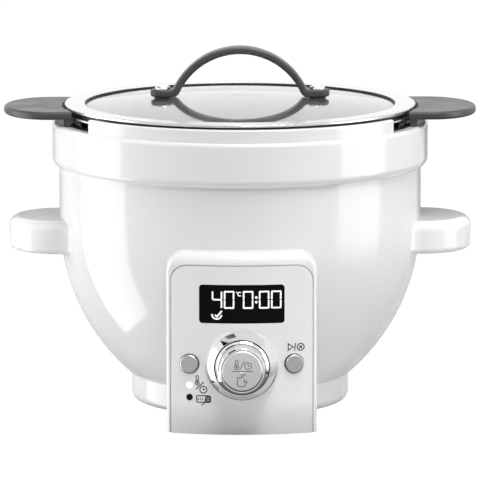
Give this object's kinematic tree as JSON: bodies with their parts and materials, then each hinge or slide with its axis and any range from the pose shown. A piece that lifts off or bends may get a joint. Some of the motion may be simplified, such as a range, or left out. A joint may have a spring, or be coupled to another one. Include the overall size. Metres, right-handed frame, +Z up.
{
  "type": "heated mixing bowl",
  "caption": "Heated double-walled mixing bowl with a front control panel, a lift-out steel bowl with dark grips, and a glass lid with an arched handle.",
  "frame": {"origin": "on the bowl's axis at the surface the part stands on, at the mouth of the mixer socket", "axes": "+Z up along the bowl's axis, -Y towards the control panel, +X towards the right-hand side handle"},
  "size_m": [0.343, 0.3149, 0.2603],
  "materials": {
    "white_gloss": "smooth white gloss plastic",
    "dark_grip": "dark grey satin plastic",
    "steel": "brushed stainless steel",
    "chrome": "polished chrome",
    "clear_glass": "clear tempered glass",
    "black_rubber": "black silicone rubber",
    "fascia_silver": "silver-grey painted face",
    "display_glass": "dark display glass",
    "aluminium": "plain aluminium",
    "black_plastic": "black plastic",
    "board_green": "glass-fibre circuit board",
    "brass": "brass",
    "light_lens": "white light lens",
    "dark_lens": "dark light lens",
    "cable_grey": "grey cable insulation"
  },
  "bodies": {
    "housing": {"outer_shell": "white_gloss", "rim_collar": "white_gloss", "seat_ring": "black_rubber", "side_handle_left": "white_gloss", "side_handle_right": "white_gloss", "foot_ring": "white_gloss", "panel_housing": "white_gloss", "inlet_surround": "white_gloss", "base_plate": "black_plastic", "base_screws": "steel", "rubber_pads": "black_rubber", "shell_screws": "steel", "control_fascia": "fascia_silver", "display_window": "display_glass", "display_module": "black_plastic", "control_board": "board_green", "board_screws": "steel", "knob_bezel": "chrome", "encoder_body": "black_plastic", "tact_switches": "black_plastic", "indicator_upper": "light_lens", "indicator_lower": "dark_lens", "heater_liner": "aluminium", "heater_plate": "aluminium", "heating_element": "steel", "heater_posts": "steel", "thermal_fuse": "brass", "sensor_guide": "black_plastic", "sensor_spring": "steel", "power_board": "board_green", "power_components": "black_plastic", "power_board_screws": "steel", "control_ribbon": "cable_grey", "heater_leads": "cable_grey", "mains_leads": "cable_grey", "inlet_socket": "black_plastic", "inlet_pins": "brass"},
    "bowl": {"inner_bowl": "steel", "bowl_bracket_left": "steel", "bowl_bracket_right": "steel", "bowl_grip_left": "dark_grip", "bowl_grip_right": "dark_grip"},
    "lid": {"lid_glass": "clear_glass", "lid_ring": "steel", "lid_seal": "black_rubber", "lid_bead": "black_rubber", "lid_handle": "dark_grip", "lid_handle_screws": "chrome", "lid_handle_spacers": "black_rubber", "lid_handle_washers": "black_rubber", "lid_handle_nuts": "steel"},
    "dial": {"dial_ring": "chrome", "encoder_rotor": "black_plastic"},
    "push_cap": {"dial_button": "steel"},
    "left_key": {"left_button": "steel"},
    "right_key": {"right_button": "steel"},
    "probe": {"sensor_probe": "aluminium"}
  },
  "joints": [
    {"name": "bowl_lift", "type": "slide", "parent": "housing", "child": "bowl", "axis": [0, 0, 1], "range_m": [0, 0.18]},
    {"name": "lid_lift", "type": "slide", "parent": "bowl", "child": "lid", "axis": [0, 0, 1], "range_m": [0, 0.12]},
    {"name": "dial_turn", "type": "hinge", "parent": "housing", "child": "dial", "pos_m": [0, -0.1505, 0.0523], "axis": [0, -1, 0], "continuous": true},
    {"name": "dial_press", "type": "slide", "parent": "housing", "child": "push_cap", "axis": [0, 1, 0], "range_m": [0, 0.0015], "stiffness_N_per_m": 400, "springref_m": -0.001},
    {"name": "left_press", "type": "slide", "parent": "housing", "child": "left_key", "axis": [0.2452, 0.9695, 0], "range_m": [0, 0.001], "stiffness_N_per_m": 400, "springref_m": -0.001},
    {"name": "right_press", "type": "slide", "parent": "housing", "child": "right_key", "axis": [-0.2452, 0.9695, 0], "range_m": [0, 0.001], "stiffness_N_per_m": 400, "springref_m": -0.001},
    {"name": "probe_press", "type": "slide", "parent": "housing", "child": "probe", "axis": [0, 0, -1], "range_m": [0, 0.003], "stiffness_N_per_m": 300, "springref_m": -0.002, "deforming": ["sensor_spring"]}
  ]
}
